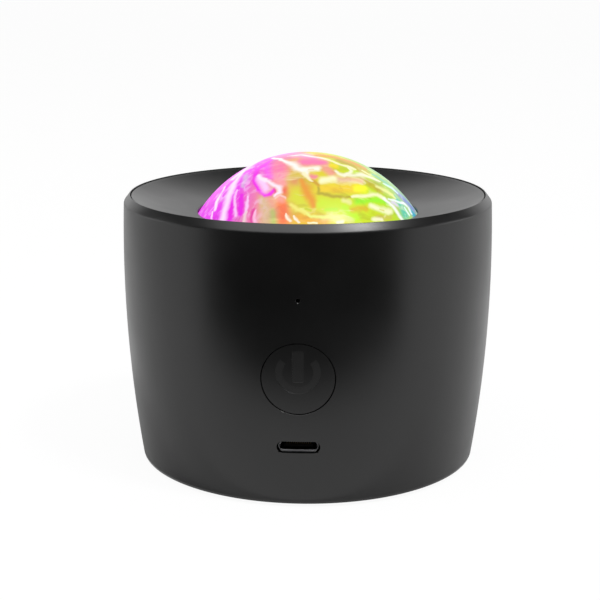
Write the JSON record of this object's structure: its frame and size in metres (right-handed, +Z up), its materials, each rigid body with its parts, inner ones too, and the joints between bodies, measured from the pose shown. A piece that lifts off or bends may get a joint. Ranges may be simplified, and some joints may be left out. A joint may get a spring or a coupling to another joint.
{
  "type": "star projector",
  "caption": "Barrel-shaped star projector with a dished top, a glowing dome over a turning rippled rotor, a flush power button and a charging port.",
  "frame": {"origin": "centre of the base, level with the bottoms of the feet", "axes": "+Z up along the barrel's axis, -Y towards the front with the power button and the charging port, +X to the right seen from the front"},
  "size_m": [0.0924, 0.0924, 0.0771],
  "materials": {
    "shell_black": "fine matt moulded grain",
    "button_black": "satin moulded plastic",
    "dome_clear": "clear gloss moulding, lit from inside",
    "rotor_clear": "clear gloss moulding with ripples",
    "white_plastic": "plain moulded plastic",
    "inner_plastic": "plain moulded plastic",
    "foot_rubber": "matt rubber",
    "steel": "bright zinc plate",
    "black_steel": "black oxide",
    "brass": "satin brass",
    "aluminium": "plain aluminium",
    "board_green": "solder mask over glass fibre",
    "board_white": "white solder mask",
    "chip_black": "moulded epoxy",
    "cell_foil": "satin foil pouch",
    "pad_foam": "closed foam",
    "lens_clear": "clear polished lens",
    "light_red": "clear resin",
    "light_green": "clear resin",
    "light_blue": "clear resin",
    "light_white": "phosphor and clear resin",
    "lead_red": "smooth insulation",
    "lead_black": "smooth insulation",
    "lead_white": "smooth insulation"
  },
  "bodies": {
    "housing": {"outer_shell": "shell_black", "top_dish": "shell_black", "bottom_cover": "shell_black", "dome_lens": "dome_clear", "engine_frame": "white_plastic", "foot_1": "foot_rubber", "foot_2": "foot_rubber", "foot_3": "foot_rubber", "foot_4": "foot_rubber", "mic_boot": "foot_rubber", "dish_screw_1": "steel", "dish_screw_2": "steel", "dish_screw_3": "steel", "engine_screw_1": "steel", "engine_screw_2": "steel", "engine_screw_3": "steel", "sink_screw_1": "steel", "sink_screw_2": "steel", "board_screw_1": "steel", "board_screw_2": "steel", "board_screw_3": "steel", "board_screw_4": "steel", "motor_screw_1": "steel", "motor_screw_2": "steel", "motor_can": "steel", "usb_shell": "steel", "base_screw_1": "black_steel", "base_screw_2": "black_steel", "base_screw_3": "black_steel", "base_screw_4": "black_steel", "switch_body": "black_steel", "gearbox": "brass", "heat_sink": "aluminium", "capacitor": "aluminium", "microphone": "aluminium", "control_board": "board_green", "led_board": "board_white", "controller_chip": "chip_black", "inductor": "chip_black", "usb_tongue": "chip_black", "battery_cell": "cell_foil", "battery_pad": "pad_foam", "condenser_lens": "lens_clear", "led_red": "light_red", "led_green": "light_green", "led_blue": "light_blue", "led_white": "light_white", "battery_lead": "lead_red", "motor_lead": "lead_black", "led_lead": "lead_white"},
    "button": {"power_button": "button_black", "switch_plunger": "inner_plastic"},
    "rotor": {"wave_rotor": "rotor_clear", "rotor_gear": "white_plastic"},
    "pinion": {"motor_pinion": "white_plastic", "motor_shaft": "steel"}
  },
  "joints": [
    {"name": "button_press", "type": "slide", "parent": "housing", "child": "button", "axis": [0, 1, 0], "range_m": [0, 0.0005], "stiffness_N_per_m": 3000},
    {"name": "rotor_spin", "type": "hinge", "parent": "housing", "child": "rotor", "pos_m": [0, 0, 0.05735], "axis": [0, 0, 1], "continuous": true},
    {"name": "pinion_spin", "type": "hinge", "parent": "housing", "child": "pinion", "pos_m": [0.0158, 0.02737, 0.05735], "axis": [0, 0, 1], "continuous": true}
  ],
  "couplings": [
    {"joint": "pinion_spin", "follows": "rotor_spin", "ratio": -6}
  ]
}
